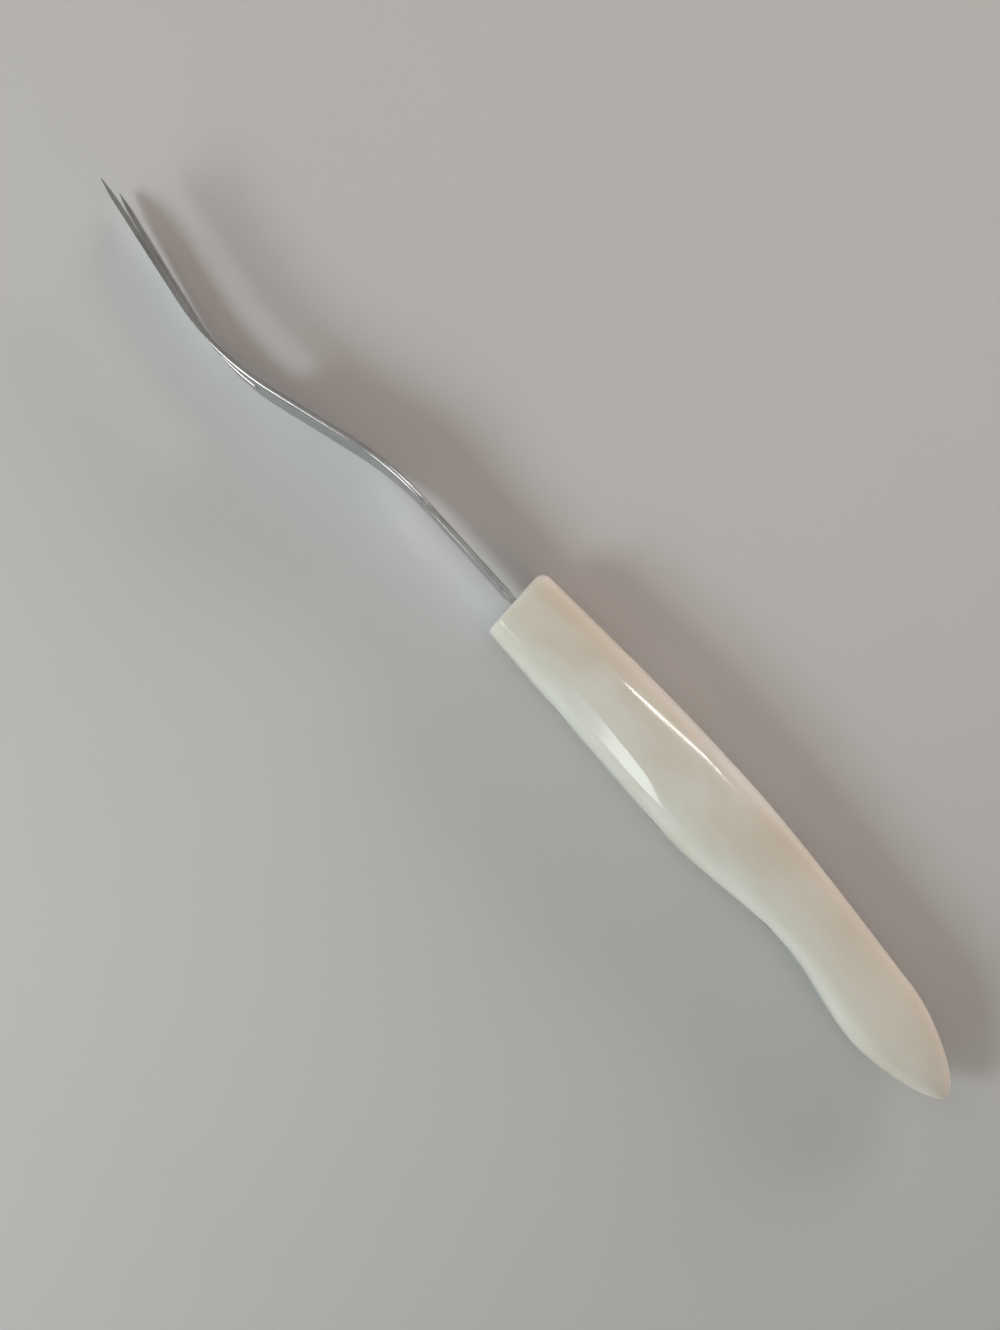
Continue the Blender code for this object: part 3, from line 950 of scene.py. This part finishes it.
def rivet_blank(name, tail_radius, tail_end, way_out):
    """A turned half: crown, rim and seat at the tang, then the tail, with what each ring belongs to."""
    crown = [((HEAD_RADIUS - RIM_CHAMFER) * k / CROWN_RINGS, 0.0) for k in range(CROWN_RINGS + 1)]
    head = [(HEAD_RADIUS, -RIM_CHAMFER), (HEAD_RADIUS, -HEAD_DEPTH), (tail_radius, -HEAD_DEPTH)]
    tail = [(tail_radius, tail_end), (0.0, tail_end)]
    made = turned(name, [(radius, height * way_out) for radius, height in crown + head + tail])
    rows = ["crown"] * len(crown) + ["head"] * len(head) + ["tail"] * len(tail)
    kinds = [rows[0]] + [kind for kind in rows[1:-1] for _ in range(TURNED_POINTS)] + [rows[-1]]
    mark(made.data, "is_head", [float(kind != "tail") for kind in kinds])
    mark(made.data, "is_tail", [float(kind == "tail") for kind in kinds])
    mark(made.data, "proud", [CROWN_PROUD * MM * (kind == "crown") for kind in kinds])
    mark(made.data, "is_crown", [kind == "crown" for kind in kinds], "BOOLEAN")
    return made


pin_blank = rivet_blank("pin_blank", PIN_RADIUS, HEAD_DEPTH + PIN_STOPS_SHORT, 1)
sleeve_blank = rivet_blank("sleeve_blank", SLEEVE_RADIUS, HEAD_DEPTH + BORE_CLEARANCE, -1)
print("rivet blanks:", [len(blank.data.polygons) for blank in (pin_blank, sleeve_blank)], "faces")

# %% Set the rivets
RAY_STARTS, RAY_LENGTH = 20.0, 60.0
RIVET_NAMES = ("front", "middle", "rear")


def set_rivets(name, blank, back_is_head):
    """Three rivet halves on the tang, with their heads at the back or at the belly."""
    mesh = bpy.data.meshes.new(name)
    mesh.from_pydata([
        Vector((FRONT - place, -tang_height(place), MIDDLE)) * MM for place in RIVET_PLACES
    ], [], [])
    pairs = [reaches(place) for place in RIVET_PLACES]
    heads, tails = zip(*(pair if back_is_head else pair[::-1] for pair in pairs))
    mark(mesh, "head_reach", [length * MM for length in heads])
    mark(mesh, "tail_reach", [length * MM for length in tails])
    made = placed(name, mesh)
    run_tree(made, RIVET_TREE, {
        "Blank": blank, "Skin": handle_blank, "Way out": (0.0, -1.0 if back_is_head else 1.0, 0.0),
        "Ray starts": RAY_STARTS * MM, "Ray length": RAY_LENGTH * MM, "Material": NICKEL,
    })
    bpy.data.objects.remove(blank)
    outward(made.data)
    dress(made, NICKEL, sharp_degrees=40)
    return made


pins = set_rivets("rivet_pins", pin_blank, True)
sleeves = set_rivets("rivet_sleeves", sleeve_blank, False)
for piece, kind in ((pins, "pin"), (sleeves, "sleeve")):
    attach(piece, "root")
    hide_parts(*(f"rivet_{kind}_{where}" for where in RIVET_NAMES))
    print(piece.name, len(piece.data.polygons), "faces")
bpy.data.objects.remove(handle_blank)

# %% [markdown]
# ## Table and light
# The fork lies on a plain pale table. Its colour is a gentle ramp, painted shade that grows a little darker
# towards the viewer, with a broad mottle, and its grain is too fine to see from where the camera stands. The
# lamps reach only the middle of it. Far out, where the table is just a backdrop, it glows by itself for the
# camera and for gloss, so that it stays pale from every side.

# %% Table
picture_right = Vector((math.cos(FORK_HEADING), -math.sin(FORK_HEADING), 0))
picture_up = Vector((math.sin(FORK_HEADING), math.cos(FORK_HEADING), 0))
TOWARDS_LIGHT = picture_up * 0.95 - picture_right * 0.3
DARKEST_AT, LIGHTEST_AT = -200.0, 60.0
# The two ends of the painted shade on the table: lit away from the viewer, shaded towards the viewer.
TABLE_LIT_SIDE, TABLE_SHADED_SIDE = screen_colour(180, 177, 175), screen_colour(164, 165, 163)
MOTTLE_SIZE, MOTTLE = 60.0, 0.16
GRAIN_SIZE, GRAIN = 1.2, 0.05
BACKDROP_STARTS, BACKDROP_FULL = 350.0, 1300.0
BACKDROP_GLOW, BLACK = (0.36, 0.355, 0.345, 1.0), (0.0, 0.0, 0.0, 1.0)


def looked_at(wire):
    """1 where the camera or a mirror image sees the surface, and 0 where it only lights other things."""
    path = wire.node("ShaderNodeLightPath", None, None, "Is Camera Ray")
    return path.math("MAXIMUM", path, path.output("Is Glossy Ray"))


def table_finish():
    material, place, shader = new_finish("pale_table", Specular_IOR_Level=0.25, Emission_Strength=1.0)
    mottle = noise(place, MOTTLE_SIZE, 3.0)
    grain = noise(place, GRAIN_SIZE, 2.0, 0.6)
    across = place.vector("DOT_PRODUCT", place, tuple(TOWARDS_LIGHT), "Value")
    # Painted shade: the table's colour darkens towards the viewer.
    share = ramp_up(across, DARKEST_AT * MM, LIGHTEST_AT * MM)
    distance = place.vector("LENGTH", place, (0, 0, 0), "Value")
    backdrop = ramp_up(distance, BACKDROP_STARTS * MM, BACKDROP_FULL * MM) * looked_at(place)
    feed(
        shader,
        Base_Color=mixed(
            share + (mottle - 0.5) * MOTTLE + (grain - 0.5) * GRAIN, TABLE_SHADED_SIDE, TABLE_LIT_SIDE),
        Roughness=0.5 + grain * 0.15,
        Emission_Color=mixed(backdrop, BLACK, BACKDROP_GLOW),
        Normal=bump(grain, 0.01, 0.3),
    )
    return material


PALE_TABLE = table_finish()
print("finish:", PALE_TABLE.name)

# %% Lay the table
TABLE_SIZE, TABLE_DROP = 4000.0, 0.05
CORNERS = ((-1, -1), (1, -1), (1, 1), (-1, 1))
half_table = TABLE_SIZE / 2 * MM
table_mesh = bpy.data.meshes.new("table")
table_mesh.from_pydata(
    [(x * half_table, y * half_table, -TABLE_DROP * MM) for x, y in CORNERS], [], [(0, 1, 2, 3)])
table = placed("table", table_mesh)
table.data.materials.append(PALE_TABLE)
print(f"table: {TABLE_SIZE * MM} m square")

# %% [markdown]
# A window to the left of the picture throws the long soft shadows, and a warm room fills them from the other
# side. A real room is full of things that a glossy handle would mirror. Here the large lamps only light what
# they reach and don't show in the gloss. Three small panes show there and light nothing: one draws the brush
# stroke along the belly, one the thin line along the back and the white edge in the bends of the blade, and
# one lifts the steel.

# %% Lamps
def over_picture(right, up, height):
    """A place over the table, in mm to the right of and above the middle of the picture."""
    return (PICTURE_CENTRE + picture_right * right + picture_up * up + Vector((0, 0, height))) * MM


def lamp(name, place, size, brightness, colour, shines):
    """A soft rectangular lamp, sized in mm, that faces the middle of the picture.

    At brightness 1 it is as bright as a white sheet in full light. It only shines in gloss, or only lights.
    """
    light = bpy.data.lights.new(name, "AREA")
    light.shape = "RECTANGLE"
    light.size, light.size_y = size[0] * MM, size[1] * MM
    light.energy = brightness * math.pi * light.size * light.size_y
    light.color = colour
    made = placed(name, light)
    made.location = over_picture(*place)
    made.rotation_euler = (over_picture(0, 0, 0) - over_picture(*place)).to_track_quat("-Z", "Y").to_euler()
    made.visible_glossy = shines
    made.visible_diffuse = not shines
    return made


SHINING_LAMPS = {
    "pane_left": ((-185, -290, 425), (56, 188), 7.0, (0.9, 1.0, 1.0)),
    "pane_right": ((257, 101, 451), (20, 300), 24.0, (1.0, 0.98, 0.97)),
    "pane_high": ((-290, -139, 404), (66, 40), 7.0, (0.95, 1.0, 1.0)),
}
FILLING_LAMPS = {
    "window": ((-590, -205, 475), (265, 265), 17.3, (0.85, 0.96, 0.98)),
    "fill_right": ((627, 627, 170), (520, 520), 9.2, (1.0, 0.9, 0.88)),
    "fill_left": ((-598, -598, 308), (520, 520), 2.0, (0.8, 0.98, 1.0)),
    "fill_front": ((-450, 450, 636), (520, 520), 1.2, (1.0, 0.95, 0.85)),
    "fill_butt": ((450, -450, 636), (520, 520), 1.2, (1.0, 0.7, 0.47)),
}
for shines, lamps in ((True, SHINING_LAMPS), (False, FILLING_LAMPS)):
    for name, looks in lamps.items():
        lamp(name, *looks, shines)

# %% [markdown]
# The rounded edge of the shoulder gleams white where it turns towards the window. The pane that it mirrors
# would also draw a broad stroke on the handle, which isn't there. Light linking keeps it to the blade.

# %% Gleam on the shoulder's edge
GLEAM = ((-380, -130, 330), (90, 380), 4.0, (0.95, 1.0, 1.0))
gleam = lamp("pane_shoulder", *GLEAM, True)
blade_only = bpy.data.collections.new("blade_only")
blade_only.objects.link(blade)
gleam.light_linking.receiver_collection = blade_only
print("gleam on the blade alone from", gleam.name)

# %% [markdown]
# The blade stands on the table like a low mirror wall, and throws some of the window back on the table beside
# it. The window is hidden from gloss, so a second one stands in its place that only gloss can see, and only
# where the light has already left the table. That keeps it out of the mirrored picture and in the glow.

# %% Light thrown back on the table
THROWN_BACK, THROWN_BACK_COLOUR = 2.3, (0.46, 0.76, 1.0)
place, size, brightness, _ = FILLING_LAMPS["window"]
glow = lamp("window_thrown_back", place, size, THROWN_BACK * brightness, THROWN_BACK_COLOUR, True)
glow.data.use_nodes = True
depth = Wire(glow.data.node_tree).node("ShaderNodeLightPath", None, None, "Diffuse Depth")
feed(glow.data.node_tree.nodes["Emission"], Strength=depth.math("GREATER_THAN", depth, 0.5))
print("glow beside the blade from", glow.name)

# %% [markdown]
# The room itself is a weak even light, with a brighter ceiling that only the faces that look straight up see.
# Low down it is as pale as the far table, again for the camera and for gloss alone.

# %% Room light
ROOM_COLOUR = (1.0, 0.98, 0.97, 1.0)
ROOM, CEILING, CEILING_STARTS, CEILING_FULL = 0.27, 0.42, 0.92, 0.995
HORIZON, HORIZON_FADES, HORIZON_ENDS = 0.13, 0.15, 0.5

world = bpy.data.worlds.new("room_light")
world.use_nodes = True
bpy.context.scene.world = world
sky = world.node_tree.nodes["Background"]
sky.inputs["Color"].default_value = ROOM_COLOUR
direction = Wire(world.node_tree).node("ShaderNodeTexCoord", None, None, "Generated")
rise = direction.part(2)
backdrop = ramp_up(rise, HORIZON_FADES, HORIZON_ENDS, HORIZON, 0.0) * looked_at(rise)
feed(sky, Strength=ramp_up(rise, CEILING_STARTS, CEILING_FULL, ROOM, CEILING) + backdrop)
bpy.context.scene.view_settings.view_transform = "Standard"
print("room light:", world.name)
